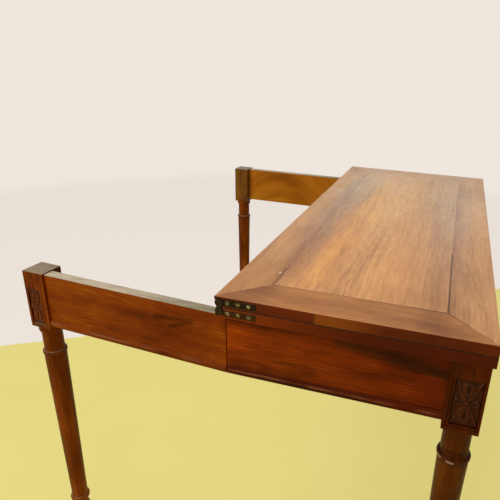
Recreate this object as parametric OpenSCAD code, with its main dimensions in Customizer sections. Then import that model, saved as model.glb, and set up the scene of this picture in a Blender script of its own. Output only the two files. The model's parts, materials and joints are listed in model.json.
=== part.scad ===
// Games table: two stacked leaves on a fixed frame, with the rear legs on two swing-out arms.
// X runs left to right, the front is at -Y and Z is up. The origin is on the floor, under the
// middle of the table as it stands with both arms out. The right side mirrors the left one.

/* [Top] */
// Height of the closed table
table_h = 770; // [720:1:820]
// Width of the top
top_w = 1100; // [1000:10:1300]
// Depth of one leaf
leaf_d = 440; // [400:5:520]
// Thickness of one leaf
leaf_t = 19; // [18:0.5:24]
// Width of the mitred border round each leaf
border_w = 75; // [50:1:95]
// Gap between the closed leaves, and between their back edges when open
leaf_gap = 0.4; // [0.3:0.1:0.8]
// Rounding of the leaf's square arrises
arris_r = 1.2; // [0.5:0.1:2]

/* [Frame] */
// Height of the fixed rails
rail_h = 115; // [100:1:140]
// Thickness of the rails and arms
rail_t = 22; // [20:0.5:26]
// Leaf overhang past the leg blocks at each side
side_overhang = 8; // [4:0.5:20]
// Leaf overhang past the front leg blocks
front_overhang = 4; // [2:0.5:20]
// Leaf overhang past the back ends of the side rails
back_overhang = 15; // [10:0.5:24]
// How far the leg blocks stand proud of the rails
block_proud = 4.5; // [3.5:0.5:6]
// How far the back rail is set in from the back ends of the side rails
back_inset = 34; // [32:1:60]
// Height of the bead along the bottom of the rails
bead_h = 15; // [8:0.5:18]
// How far the bead stands out
bead_proud = 3; // [2:0.25:3.25]

/* [Legs] */
// Height of the square blocks of the front legs
front_block_h = 128; // [120:1:150]
// Height of the square blocks of the rear legs, down to the turned shoulder
rear_block_h = 121; // [116:1:150]
// Width of the front leg blocks
front_block_w = 57; // [55:1:66]
// Width of the rear leg blocks
rear_block_w = 48; // [44:1:52]
// Radius at the top of the front leg shafts
front_shaft_r = 25.5; // [22:0.5:26]
// Radius at the top of the rear leg shafts
rear_shaft_r = 22; // [18:0.5:22.5]
// Length of the front leg necks, from the shoulder down to the cove
front_neck_h = 46; // [36:1:60]
// Length of the rear leg necks
rear_neck_h = 39; // [32:1:50]
// Height of the turned shoulder under the front blocks
front_shoulder_h = 7; // [4:0.5:12]
// Height of the turned shoulder under the rear blocks
rear_shoulder_h = 14.5; // [8:0.5:18]
// Height of the top of the ankle ring above the floor
ankle_h = 148; // [120:1:180]

/* [Swing arms] */
// Length of an arm, from its joint to the outer end of its leg block
arm_len = 440; // [380:1:470]
// How far the top of an arm lies under the top of its leg block
arm_drop = 2.5; // [1.5:0.5:5]
// Gap between the butt end of an arm and the end of its side rail
butt_gap = 0.4; // [0.3:0.1:1]
// Gap between the top of a rear leg block and the leaf that it carries
rest_gap = 0.3; // [0.2:0.1:0.5]
// How far the left arm stands folded in from square
left_arm_rest = 3.5; // [0:0.5:90]
// How far the right arm stands folded in from square
right_arm_rest = 0; // [0:0.5:90]

/* [Top hinges] */
// Distance of each hinge pin from the back edge and the meeting face of its leaf
pin_inset = 7.5; // [7:0.25:8.5]
// Radius of the hinge pins
pin_r = 2; // [1.5:0.1:2.4]
// Thickness of the link
link_t = 2.5; // [2:0.1:3.5]
// Length of the visible plate in front of the link
plate_len = 58; // [50:1:80]
// Height of the plate
plate_h = 11.5; // [10:0.5:13.5]
// Thickness of the plate
plate_t = 2.5; // [2:0.1:3.5]
// Spacing of the plate screws
plate_pitch = 18.5; // [15:0.5:19]

/* [Arm hinges] */
// Height of an arm hinge
hinge_h = 76; // [60:1:90]
// Width of each hinge leaf, from the pin to its edge
hinge_w = 29; // [22:0.5:30]
// Thickness of a hinge leaf
hinge_t = 2; // [1.5:0.1:2.5]
// Radius of the hinge knuckles
knuckle_r = 4; // [3.5:0.1:4.5]
// Radius of the arm hinge pin
arm_pin_r = 2; // [1.5:0.1:2.4]

/* [Hidden] */

$fn = 48;
// A little extra on a cutting shape, so that it runs clear of the face it cuts
cut = 1;
// Running clearance round a pin
pin_clear = 0.05;
// Clearance between a turning hinge part and what it passes
turn_clear = 0.3;

// Heights
upper_face_z = table_h - leaf_t;
lower_face_z = upper_face_z - leaf_gap;
frame_top_z = lower_face_z - leaf_t;
rail_bottom_z = frame_top_z - rail_h;
front_block_z = frame_top_z - front_block_h;
rear_block_z = frame_top_z - rear_block_h;
arm_top_z = frame_top_z - rest_gap - arm_drop;
arm_h = arm_top_z - rail_bottom_z;

// Places across and along, for the left side
left_x = -top_w / 2;
block_x = left_x + side_overhang;
rail_x = block_x + block_proud;
inner_x = rail_x + rail_t;
axis_x = inner_x + knuckle_r - hinge_t;
// How far an arm reaches behind the joint when it stands folded in by an angle
function reach(angle) =
    butt_gap / 2 + (axis_x - block_x) * sin(angle) + (arm_len - butt_gap / 2) * cos(angle);
back_y = (leaf_d + back_overhang - max(back_overhang, reach(left_arm_rest), reach(right_arm_rest))) / 2;
joint_y = back_y - back_overhang;
front_y = back_y - leaf_d;
front_block_y = front_y + front_overhang;
front_rail_y = front_block_y + block_proud;
rear_block_y = joint_y + arm_len - rear_block_w;
side_rail_y = front_block_y + front_block_w;
front_rail_len = top_w - 2 * (side_overhang + front_block_w);
back_rail_y = joint_y - back_inset - rail_t;

// Tenons
tenon_t = 10;
tenon_len = 22;
tenon_shoulder = 14;
stub_len = 10;

// Tongue that holds the panel in its borders
tongue_t = 6;
tongue_len = 9;
tongue_gap = 0.5;

// Wood screws
head_r = 3.5;
head_h = 2.2;
shank_r = 1.6;
slot_w = 0.8;
slot_h = 0.8;
plate_screw_len = 18;
hinge_screw_len = 15;

// Top hinge
link_clear = 0.2;
lobe_r = pin_inset - turn_clear;
link_waist = 9;
link_pocket_r = norm([link_waist / 2, pin_inset]) + turn_clear;
plate_scoop = 1.5;
plate_start = pin_inset + link_pocket_r - plate_scoop;
eye_t = 2.3;
eye_r = pin_inset - 1;
eye_bar_h = 8;
eye_root_len = 8;
eye_depth = link_t + link_clear;
first_screw = 7.7;

// Arm hinge
knuckle_n = 5;
knuckle_len = hinge_h / knuckle_n;
knuckle_gap = 0.2;
axis_y = joint_y + butt_gap / 2;
hinge_z = rail_bottom_z + (arm_h - hinge_h) / 2;
hinge_screw_n = 3;
hinge_screw_inset = 6;
hinge_screw_stagger = 8;

// Recess for the carving on a leg block, and the lines cut beside and under it
front_recess_top = 31;
rear_recess_top = 37;
recess_depth = 3;
recess_outer_margin = 5;
front_recess_inner_margin = 10;
rear_recess_inner_margin = 13;
recess_strip = 3;
quirk_w = 1.5;
quirk_depth = 1;
quirk_offset = 4.5;
front_band_h = 12;
rear_band_h = 8;

// How far a turned shoulder stays inside the faces of its block
shoulder_inset = 0.5;

// Turning of the foot and ankle: heights of the bevel at the tip, of the foot's rounded top, of
// the bead, and of all that lies between the widest part of the foot and the top of the bead
toe_bevel_h = 4;
foot_top_h = 16;
ankle_bead_h = 12;
ankle_len = 46;
// Heights of the fillets next to the beads: under and over the ankle, and under the ring
ankle_cone_h = 3;
ankle_fillet_h = 1;
ring_cone_h = 2.5;
ring_fillet_h = 1;

// Bearer, fixing blocks and their screws
bearer_w = 60;
bearer_h = 22;
fix_w = 22;
fix_len = 60;
fix_screw_grip = 12;
fix_screw_len = fix_w + fix_screw_grip;

walnut = "#8b4c22";
walnut_dark = "#6e3a1b";
walnut_light = "#b4743f";
iron = "#3b342d";
steel = "#b3a987";

module mirror_x() {
    mirror([1, 0, 0]) children();
}

module both_sides() {
    children();
    mirror_x() children();
}

// What is cut away to round one corner of a profile, for a corner at the origin
// with the material in the quarter where both coordinates are positive
module corner_cut(r) {
    difference() {
        translate([-cut, -cut]) square(r + cut);
        translate([r, r]) circle(r);
    }
}

// Slotted countersunk wood screw, its head flush with Z = 0 and its shank down -Z
module screw(len) {
    difference() {
        screw_form(len, 0);
        translate([-slot_w / 2, -head_r - cut, -slot_h]) cube([slot_w, 2 * (head_r + cut), slot_h + cut]);
    }
}

module screw_form(len, clear) {
    translate([0, 0, -head_h]) cylinder(h = head_h, r1 = shank_r + clear, r2 = head_r + clear, $fn = 32);
    translate([0, 0, -len]) cylinder(h = len, r = shank_r + clear, $fn = 24);
}

// Screw form laid into a side face, with its head towards -X
module side_screw(len, clear) {
    rotate([0, -90, 0]) screw_form(len, clear);
}

// Legs

// Half round from z up to z + h, standing out from radius r
function bead_arc(r, out, z, h) =
    [for (a = [-90 : 22.5 : 90]) [r + out * cos(a), z + h / 2 + h / 2 * sin(a)]];

// Outline of the turned part of a leg, for a shaft of radius r at its top and a shoulder of
// radius shoulder_r that meets the square block at the height top
function turned_profile(r, neck_h, shoulder_r, shoulder_h, top) =
    let (
        foot_h = ankle_h - ankle_len,
        bead_z = ankle_h - ankle_bead_h,
        neck_r = 0.9 * r,
        cove_h = 0.22 * r,
        ring_h = 0.44 * r,
        lip_h = 0.6 * shoulder_h,
        shoulder_z = top - shoulder_h,
        ring_top = shoulder_z - neck_h,
        ring_z = ring_top - cove_h - ring_h
    )
    concat(
        [[0, 0], [0.5 * r, 0], [0.58 * r, toe_bevel_h], [0.9 * r, foot_h]],
        [for (a = [15 : 15 : 90]) [0.72 * r + 0.18 * r * cos(a), foot_h + foot_top_h * sin(a)]],
        [[0.72 * r, bead_z - ankle_cone_h], [0.84 * r, bead_z - ankle_fillet_h]],
        bead_arc(0.82 * r, 0.14 * r, bead_z, ankle_bead_h),
        [[0.78 * r, ankle_h + ankle_fillet_h]],
        [[r, ring_z - ring_cone_h], [0.95 * r, ring_z - ring_fillet_h]],
        bead_arc(0.95 * r, 0.135 * r, ring_z, ring_h),
        [for (a = [15 : 15 : 90]) [neck_r + 0.05 * r * (1 - sin(a)), ring_top - cove_h * cos(a)]],
        [for (a = [0 : 22.5 : 90]) [
            neck_r + (shoulder_r - neck_r) * sin(a),
            shoulder_z + (shoulder_h - lip_h) * (1 - cos(a))
        ]],
        [[shoulder_r, top], [0, top]]
    );

// Cuts for the carving in the face of a block that looks towards -X, with the block's top at
// Z = 0, its outer end at Y = 0 and its rail towards -Y
module carving_cuts(w, top, inner_margin, bottom) {
    recess_w = w - recess_outer_margin - inner_margin;
    translate([-cut, -recess_outer_margin - recess_w, bottom])
        cube([recess_depth + cut, recess_w, -top - bottom]);
    translate([-cut, -recess_outer_margin - recess_w - quirk_offset, bottom])
        cube([quirk_depth + cut, quirk_w, -top - bottom]);
    translate([-cut, -w - cut, bottom - recess_strip - quirk_w])
        cube([quirk_depth + cut, w + 2 * cut, quirk_w]);
}

// Turned part under a square block of width w that has its outer corner at the origin
module turned_part(w, r, neck_h, shoulder_h, top) {
    translate([w / 2, w / 2, 0]) rotate_extrude($fn = 64)
        polygon(turned_profile(r, neck_h, w / 2 - shoulder_inset, shoulder_h, top));
}

// Tenon or its mortise, on a rail of height h that ends at Y = 0 and starts at X = 0
module tenon(len, z, h) {
    translate([(rail_t - tenon_t) / 2, 0, z + tenon_shoulder]) cube([tenon_t, len, h - 2 * tenon_shoulder]);
}

module front_leg() {
    color(walnut_dark) difference() {
        translate([block_x, front_block_y, 0]) {
            translate([0, 0, front_block_z]) cube([front_block_w, front_block_w, front_block_h]);
            turned_part(front_block_w, front_shaft_r, front_neck_h, front_shoulder_h, front_block_z);
        }
        translate([block_x, front_block_y, frame_top_z]) mirror([0, 1, 0]) front_carving();
        translate([block_x, front_block_y, frame_top_z]) rotate([0, 0, 90]) front_carving();
        side_rail_tenon();
        front_rail_tenon();
    }
}

module front_carving() {
    carving_cuts(front_block_w, front_recess_top, front_recess_inner_margin, front_band_h - front_block_h);
}

module side_rail_tenon() {
    translate([rail_x, side_rail_y - tenon_len, 0]) tenon(tenon_len, rail_bottom_z, rail_h);
}

module front_rail_tenon() {
    translate([block_x + front_block_w - tenon_len, front_rail_y + rail_t, 0])
        rotate([0, 0, -90]) tenon(tenon_len, rail_bottom_z, rail_h);
}

module left_front_leg() { front_leg(); }
module right_front_leg() { mirror_x() front_leg(); }

// Fixed frame

module front_rail() {
    color(walnut) {
        translate([-front_rail_len / 2, front_rail_y, rail_bottom_z])
            difference() {
                cube([front_rail_len, rail_t, rail_h]);
                translate([(front_rail_len - bearer_w) / 2, rail_t - stub_len, rail_h - bearer_h])
                    cube([bearer_w, stub_len + cut, bearer_h + cut]);
            }
        both_sides() front_rail_tenon();
    }
}

module side_rail() {
    color(walnut) difference() {
        union() {
            translate([rail_x, side_rail_y, rail_bottom_z]) cube([rail_t, joint_y - side_rail_y, rail_h]);
            side_rail_tenon();
        }
        back_rail_stub();
        frame_hinge_pocket();
    }
}

module left_side_rail() { side_rail(); }
module right_side_rail() { mirror_x() side_rail(); }

module back_rail_stub() {
    translate([inner_x - stub_len, back_rail_y, rail_bottom_z + tenon_shoulder])
        cube([stub_len + cut, rail_t, rail_h - 2 * tenon_shoulder]);
}

module back_rail() {
    color(walnut_light) difference() {
        union() {
            translate([inner_x, back_rail_y, rail_bottom_z]) cube([-2 * inner_x, rail_t, rail_h]);
            both_sides() back_rail_stub();
        }
        translate([-bearer_w / 2, back_rail_y - cut, frame_top_z - bearer_h])
            cube([bearer_w, stub_len + cut, bearer_h + cut]);
    }
}

module cross_bearer() {
    start_y = front_rail_y + rail_t - stub_len;
    color(walnut_light) translate([-bearer_w / 2, start_y, frame_top_z - bearer_h])
        cube([bearer_w, back_rail_y + stub_len - start_y, bearer_h]);
}

// Bead with its flat back on Y = 0, its round side towards -Y, from X = 0 to len
module bead(len) {
    bead_r = (pow(bead_h / 2, 2) + pow(bead_proud, 2)) / (2 * bead_proud);
    rotate([90, 0, 90]) linear_extrude(len) intersection() {
        translate([bead_r - bead_proud, bead_h / 2]) circle(bead_r, $fn = 96);
        translate([-bead_proud - cut, 0]) square([bead_proud + cut, bead_h]);
    }
}

// Bead along a rail on the left side, from y0 to y1
module side_bead(y0, y1) {
    color(walnut_dark) translate([rail_x, y1, rail_bottom_z]) rotate([0, 0, -90]) bead(y1 - y0);
}

module front_bead() {
    color(walnut_dark) translate([-front_rail_len / 2, front_rail_y, rail_bottom_z]) bead(front_rail_len);
}

module left_side_bead() { side_bead(side_rail_y, joint_y); }
module right_side_bead() { mirror_x() side_bead(side_rail_y, joint_y); }

// Centres of the fixing blocks, and whether each runs along X
function fix_places() = [
    [-0.3 * top_w, front_rail_y + rail_t + fix_w / 2, true],
    [0.3 * top_w, front_rail_y + rail_t + fix_w / 2, true],
    [-0.3 * top_w, back_rail_y - fix_w / 2, true],
    [0.3 * top_w, back_rail_y - fix_w / 2, true],
    [inner_x + fix_w / 2, (side_rail_y + back_rail_y) / 2, false],
    [-inner_x - fix_w / 2, (side_rail_y + back_rail_y) / 2, false]
];

module fixing_blocks() {
    color(walnut_light) difference() {
        for (p = fix_places()) {
            size = p[2] ? [fix_len, fix_w] : [fix_w, fix_len];
            translate([p[0] - size[0] / 2, p[1] - size[1] / 2, frame_top_z - fix_w])
                cube([size[0], size[1], fix_w]);
        }
        fixing_screw_forms(pin_clear);
    }
}

module fixing_screw_forms(clear) {
    for (p = fix_places())
        translate([p[0], p[1], frame_top_z - fix_w]) mirror([0, 0, 1]) screw_form(fix_screw_len, clear);
}

module fixing_screws() {
    color(steel) for (p = fix_places())
        translate([p[0], p[1], frame_top_z - fix_w]) mirror([0, 0, 1]) screw(fix_screw_len);
}

// Leaves
// A leaf is made with its meeting face at Z = 0, its body below that and its back edge at Y = 0

module place_lower() {
    translate([0, back_y, lower_face_z]) children();
}

module place_upper() {
    translate([0, back_y, upper_face_z]) mirror([0, 0, 1]) children();
}

module leaf_panel() {
    w = top_w - 2 * border_w;
    d = leaf_d - 2 * border_w;
    grip = tongue_len - tongue_gap;
    color(walnut_light) {
        translate([-w / 2, border_w - leaf_d, -leaf_t]) cube([w, d, leaf_t]);
        translate([-w / 2 - grip, border_w - leaf_d - grip, -(leaf_t + tongue_t) / 2])
            cube([w + 2 * grip, d + 2 * grip, tongue_t]);
    }
}

// Section of a border: its outer edge on the vertical axis, its body to the right
module border_section(meet_r) {
    difference() {
        translate([0, -leaf_t]) square([border_w, leaf_t]);
        mirror([0, 1]) corner_cut(meet_r);
        translate([0, -leaf_t]) corner_cut(arris_r);
        translate([border_w - tongue_len, -(leaf_t + tongue_t) / 2]) square([tongue_len + cut, tongue_t]);
    }
}

module front_border() {
    color(walnut) difference() {
        intersection() {
            translate([left_x, -leaf_d, 0]) rotate([90, 0, 90]) linear_extrude(top_w) border_section(arris_r);
            translate([0, 0, -leaf_t - cut]) linear_extrude(leaf_t + 2 * cut) polygon([
                [left_x, -leaf_d], [left_x + border_w, border_w - leaf_d],
                [-left_x - border_w, border_w - leaf_d], [-left_x, -leaf_d]
            ]);
        }
        side_arris_cuts();
    }
}

module back_border() {
    color(walnut) difference() {
        intersection() {
            translate([left_x, 0, 0]) rotate([90, 0, 90]) linear_extrude(top_w)
                mirror([1, 0]) border_section(pin_inset);
            translate([0, 0, -leaf_t - cut]) linear_extrude(leaf_t + 2 * cut) polygon([
                [left_x, 0], [left_x + border_w, -border_w], [-left_x - border_w, -border_w], [-left_x, 0]
            ]);
        }
        side_arris_cuts();
        both_sides() leaf_hinge_cuts();
    }
}

// The small roundings of the side edges, where they run out over the front and back borders
module side_arris_cuts() {
    both_sides() translate([left_x, cut, 0]) rotate([90, 0, 0]) linear_extrude(leaf_d + 2 * cut) {
        mirror([0, 1]) corner_cut(arris_r);
        translate([0, -leaf_t]) corner_cut(arris_r);
    }
}

// The roundings of the front and back edges, where they run out over the side borders
module end_arris_cuts() {
    translate([left_x - cut, -leaf_d, 0]) rotate([90, 0, 90]) linear_extrude(border_w) {
        mirror([0, 1]) corner_cut(arris_r);
        translate([0, -leaf_t]) corner_cut(arris_r);
    }
    translate([left_x - cut, 0, 0]) rotate([90, 0, 90]) linear_extrude(border_w) mirror([1, 0]) {
        mirror([0, 1]) corner_cut(pin_inset);
        translate([0, -leaf_t]) corner_cut(arris_r);
    }
}

module side_border() {
    color(walnut) difference() {
        intersection() {
            translate([left_x, 0, 0]) rotate([90, 0, 0]) linear_extrude(leaf_d) border_section(arris_r);
            translate([0, 0, -leaf_t - cut]) linear_extrude(leaf_t + 2 * cut) polygon([
                [left_x, 0], [left_x, -leaf_d],
                [left_x + border_w, border_w - leaf_d], [left_x + border_w, -border_w]
            ]);
        }
        end_arris_cuts();
        leaf_hinge_cuts();
    }
}

// A piece of the lower leaf in its place, with the holes of the fixing screws
module fixed_leaf() {
    difference() {
        place_lower() children();
        fixing_screw_forms(pin_clear);
    }
}

module lower_panel() { fixed_leaf() leaf_panel(); }
module lower_front_border() { fixed_leaf() front_border(); }
module lower_back_border() { fixed_leaf() back_border(); }
module lower_left_border() { fixed_leaf() side_border(); }
module lower_right_border() { mirror_x() fixed_leaf() side_border(); }
module upper_panel() { place_upper() leaf_panel(); }
module upper_front_border() { place_upper() front_border(); }
module upper_back_border() { place_upper() back_border(); }
module upper_left_border() { place_upper() side_border(); }
module upper_right_border() { mirror_x() place_upper() side_border(); }

// Top hinges, in the frame of a leaf: the pin runs along X

module at_pin() {
    translate([left_x, -pin_inset, -pin_inset]) children();
}

// Flat shape in the YZ plane, from the side face of the leaf inwards by depth d0 to d1
module side_slab(d0, d1) {
    translate([left_x + d0, 0, 0]) rotate([90, 0, 90]) linear_extrude(d1 - d0) children();
}

function plate_screw_y(i) = -plate_start - first_screw - i * plate_pitch;

module plate_outline() {
    translate([-plate_start - plate_len, -(leaf_t + plate_h) / 2]) square([plate_len, plate_h]);
}

module eye_outline(clear) {
    translate([-pin_inset, -pin_inset]) circle(eye_r + clear);
    translate([-plate_start - eye_root_len, -pin_inset - eye_bar_h / 2])
        square([plate_start + eye_root_len - pin_inset, eye_bar_h]);
}

// Thick end of the plate, which carries the eye
module root_outline() {
    translate([-plate_start - eye_root_len, -(leaf_t + plate_h) / 2]) square([eye_root_len, plate_h]);
}

// Round space in which the link turns
module link_pocket() {
    side_slab(-cut, eye_depth) translate([-pin_inset, -pin_inset]) circle(link_pocket_r);
}

module plate() {
    color(iron) difference() {
        union() {
            difference() {
                union() {
                    side_slab(0, plate_t) plate_outline();
                    side_slab(0, eye_depth + eye_t) root_outline();
                }
                link_pocket();
            }
            side_slab(eye_depth, eye_depth + eye_t) eye_outline(0);
        }
        at_pin() rotate([0, 90, 0]) cylinder(h = eye_depth + eye_t + cut, r = pin_r + pin_clear);
        plate_screw_forms(pin_clear);
    }
}

module plate_screw_forms(clear) {
    for (i = [0 : 2])
        translate([left_x, plate_screw_y(i), -leaf_t / 2]) side_screw(plate_screw_len, clear);
}

module plate_screws() {
    color(steel) for (i = [0 : 2])
        translate([left_x, plate_screw_y(i), -leaf_t / 2]) rotate([0, -90, 0]) rotate([0, 0, 25 + 50 * i])
            screw(plate_screw_len);
}

// Everything that the hinge needs cut out of a leaf on its left side
module leaf_hinge_cuts() {
    side_slab(-cut, plate_t) plate_outline();
    side_slab(-cut, eye_depth + eye_t) root_outline();
    link_pocket();
    side_slab(eye_depth - cut, eye_depth + eye_t) eye_outline(turn_clear);
    plate_screw_forms(pin_clear);
}

module lower_plate() { place_lower() plate(); }
module upper_plate() { place_upper() plate(); }
module left_lower_plate() { lower_plate(); }
module right_lower_plate() { mirror_x() lower_plate(); }
module left_upper_plate() { upper_plate(); }
module right_upper_plate() { mirror_x() upper_plate(); }
module lower_plate_screws() { both_sides() place_lower() plate_screws(); }
module upper_plate_screws() { both_sides() place_upper() plate_screws(); }

// Figure-eight link: two round lobes with a waist, one bore in each
module link() {
    spacing = 2 * pin_inset + leaf_gap;
    color(iron) translate([left_x, back_y - pin_inset, lower_face_z - pin_inset])
        rotate([90, 0, 90]) linear_extrude(link_t) difference() {
            union() {
                circle(lobe_r);
                translate([0, spacing]) circle(lobe_r);
                translate([-link_waist / 2, 0]) square([link_waist, spacing]);
            }
            circle(pin_r + pin_clear);
            translate([0, spacing]) circle(pin_r + pin_clear);
        }
}

module left_link() { link(); }
module right_link() { mirror_x() link(); }

module link_pins() {
    color(steel) both_sides() {
        place_lower() at_pin() rotate([0, 90, 0]) cylinder(h = eye_depth + eye_t, r = pin_r);
        place_upper() at_pin() rotate([0, 90, 0]) cylinder(h = eye_depth + eye_t, r = pin_r);
    }
}

// Swing arms, made square to the frame and then swung to their resting angle

module swing_left() {
    translate([axis_x, axis_y, 0]) rotate([0, 0, -left_arm_rest]) translate([-axis_x, -axis_y, 0]) children();
}

module swing_right() {
    mirror_x() translate([axis_x, axis_y, 0]) rotate([0, 0, -right_arm_rest])
        translate([-axis_x, -axis_y, 0]) children();
}

module arm_tenon() {
    translate([rail_x, rear_block_y, 0]) tenon(tenon_len, rail_bottom_z, arm_h);
}

module arm() {
    start_y = joint_y + butt_gap;
    color(walnut) difference() {
        union() {
            translate([rail_x, start_y, rail_bottom_z]) cube([rail_t, rear_block_y - start_y, arm_h]);
            arm_tenon();
        }
        arm_hinge_pocket();
    }
}

module rear_leg() {
    top_z = frame_top_z - rest_gap;
    recess_z = rear_block_z + rear_band_h;
    color(walnut_dark) difference() {
        translate([block_x, rear_block_y, 0]) {
            translate([0, 0, rear_block_z]) cube([rear_block_w, rear_block_w, top_z - rear_block_z]);
            turned_part(rear_block_w, rear_shaft_r, rear_neck_h, rear_shoulder_h, rear_block_z);
        }
        translate([block_x, rear_block_y + rear_block_w, top_z])
            carving_cuts(rear_block_w, rear_recess_top, rear_recess_inner_margin, recess_z - top_z);
        arm_tenon();
    }
}

module arm_bead() { side_bead(joint_y + butt_gap, rear_block_y); }

// Butt hinge on its own axis: the frame's leaf lies towards -Y and the arm's towards +Y

module knuckle(i, r, gap) {
    translate([0, 0, i * knuckle_len + gap / 2]) cylinder(h = knuckle_len - gap, r = r);
}

// Hinge leaf with the knuckles whose numbers start at first, and cut clear of the others
module hinge_leaf(first) {
    other = 1 - first;
    difference() {
        union() {
            translate([-knuckle_r, 0, 0]) cube([hinge_t, hinge_w, hinge_h]);
            for (i = [first : 2 : knuckle_n - 1]) knuckle(i, knuckle_r, knuckle_gap);
        }
        for (i = [other : 2 : knuckle_n - 1]) knuckle(i, knuckle_r + turn_clear, -knuckle_gap);
        translate([0, 0, -cut]) cylinder(h = hinge_h + 2 * cut, r = arm_pin_r + pin_clear);
        hinge_screw_forms(pin_clear);
    }
}

module hinge_screw_places() {
    for (i = [0 : hinge_screw_n - 1])
        translate([
            hinge_t - knuckle_r,
            hinge_w - hinge_screw_inset - (i % 2) * hinge_screw_stagger,
            hinge_h * (i + 0.5) / hinge_screw_n
        ]) rotate([0, 90, 0]) children();
}

module hinge_screw_forms(clear) {
    hinge_screw_places() screw_form(hinge_screw_len, clear);
}

// What the hinge needs cut out of the wood on the side towards +Y
module hinge_pocket() {
    translate([-knuckle_r, 0, 0]) cube([knuckle_r + cut, hinge_w, hinge_h]);
    translate([0, 0, -turn_clear]) cylinder(h = hinge_h + 2 * turn_clear, r = knuckle_r + turn_clear);
    hinge_screw_forms(pin_clear);
}

module at_hinge() {
    translate([axis_x, axis_y, hinge_z]) children();
}

module frame_side() {
    mirror([0, 1, 0]) children();
}

module arm_hinge_pocket() { at_hinge() hinge_pocket(); }
module frame_hinge_pocket() { at_hinge() frame_side() hinge_pocket(); }
module arm_hinge() { color(iron) at_hinge() hinge_leaf(1); }
module frame_hinge() { color(iron) at_hinge() frame_side() hinge_leaf(0); }
module hinge_pin() { color(steel) at_hinge() cylinder(h = hinge_h, r = arm_pin_r); }
module arm_screws() { color(steel) at_hinge() hinge_screw_places() screw(hinge_screw_len); }
module frame_screws() { color(steel) at_hinge() frame_side() hinge_screw_places() screw(hinge_screw_len); }

module left_arm() { swing_left() arm(); }
module left_arm_bead() { swing_left() arm_bead(); }
module left_rear_leg() { swing_left() rear_leg(); }
module left_arm_hinge() { swing_left() arm_hinge(); }
module left_arm_screws() { swing_left() arm_screws(); }
module left_frame_hinge() { frame_hinge(); }
module left_hinge_pin() { hinge_pin(); }
module right_arm() { swing_right() arm(); }
module right_arm_bead() { swing_right() arm_bead(); }
module right_rear_leg() { swing_right() rear_leg(); }
module right_arm_hinge() { swing_right() arm_hinge(); }
module right_arm_screws() { swing_right() arm_screws(); }
module right_frame_hinge() { mirror_x() frame_hinge(); }
module right_hinge_pin() { mirror_x() hinge_pin(); }
module frame_hinge_screws() { both_sides() frame_screws(); }

front_rail();
left_side_rail();
right_side_rail();
back_rail();
cross_bearer();
left_front_leg();
right_front_leg();
front_bead();
left_side_bead();
right_side_bead();
fixing_blocks();
fixing_screws();
lower_panel();
lower_front_border();
lower_back_border();
lower_left_border();
lower_right_border();
upper_panel();
upper_front_border();
upper_back_border();
upper_left_border();
upper_right_border();
left_lower_plate();
right_lower_plate();
left_upper_plate();
right_upper_plate();
left_link();
right_link();
link_pins();
lower_plate_screws();
upper_plate_screws();
left_arm();
left_arm_bead();
left_rear_leg();
left_arm_hinge();
left_frame_hinge();
left_hinge_pin();
left_arm_screws();
right_arm();
right_arm_bead();
right_rear_leg();
right_arm_hinge();
right_frame_hinge();
right_hinge_pin();
right_arm_screws();
frame_hinge_screws();
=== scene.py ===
"""Looks of the games table: old polished walnut, carved quatrefoils on the leg blocks, and bronze
top hinges. Lengths are in metres, in the frame of the model: X runs to the right, the front is
at -Y, and the floor is at Z = 0."""

import json
import math

import bpy
from mathutils import Matrix, Vector


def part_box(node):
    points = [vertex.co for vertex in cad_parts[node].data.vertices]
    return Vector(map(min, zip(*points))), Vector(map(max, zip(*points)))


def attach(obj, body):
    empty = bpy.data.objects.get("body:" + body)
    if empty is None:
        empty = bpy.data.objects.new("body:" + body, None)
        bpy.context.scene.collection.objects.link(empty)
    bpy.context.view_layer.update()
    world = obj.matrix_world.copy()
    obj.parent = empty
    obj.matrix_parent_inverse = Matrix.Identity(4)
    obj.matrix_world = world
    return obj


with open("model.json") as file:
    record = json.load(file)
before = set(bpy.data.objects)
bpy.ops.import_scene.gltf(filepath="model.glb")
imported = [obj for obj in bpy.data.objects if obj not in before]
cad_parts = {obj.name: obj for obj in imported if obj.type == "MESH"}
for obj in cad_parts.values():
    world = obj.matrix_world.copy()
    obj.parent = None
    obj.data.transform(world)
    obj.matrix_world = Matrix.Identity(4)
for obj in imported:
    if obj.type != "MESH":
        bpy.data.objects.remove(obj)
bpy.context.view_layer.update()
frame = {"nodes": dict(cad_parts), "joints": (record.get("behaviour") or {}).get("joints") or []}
nodes = frame["nodes"]

# The top: its edges, its height, the width of its borders, and the middle of the gap between its
# two leaves
border_low, border_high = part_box("upper_front_border")
TOP_LEFT_X = border_low.x
TOP_FRONT_Y = border_low.y
TOP_BACK_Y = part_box("upper_back_border")[1].y
TOP_Z = border_high.z
BORDER_W = border_high.y - border_low.y
LEAF_MEETING_Z = (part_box("lower_panel")[1].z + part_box("upper_panel")[0].z) / 2

# Leg blocks, from the top down to the turned part, and the recesses in them: width and height,
# depth, the margin at the outer edge and the band under the recess
FRONT_BLOCK_H = 0.128
REAR_BLOCK_H = 0.1207
FRONT_RECESS_SIZE = (0.042, 0.085)
REAR_RECESS_SIZE = (0.030, 0.0757)
RECESS_DEPTH = 0.003
RECESS_MARGIN = 0.005
FRONT_BAND = 0.012
REAR_BAND = 0.008

# Heights: the feet of the leg blocks, the beads under the rails, and the tops of the rails
FRONT_BLOCK_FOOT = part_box("left_front_leg")[1].z - FRONT_BLOCK_H
REAR_BLOCK_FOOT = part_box("right_rear_leg")[1].z - REAR_BLOCK_H
BEAD_FOOT, BEAD_TOP = (corner.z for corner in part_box("left_side_bead"))
RAIL_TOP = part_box("left_side_rail")[1].z

# Looks of the turning, measured down from the foot of a front block: the foot of the neck,
# darkened as painted shade, and the collar under it
NECK_SHADE_DROP = 0.0516
COLLAR_DROP = 0.0641

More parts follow.
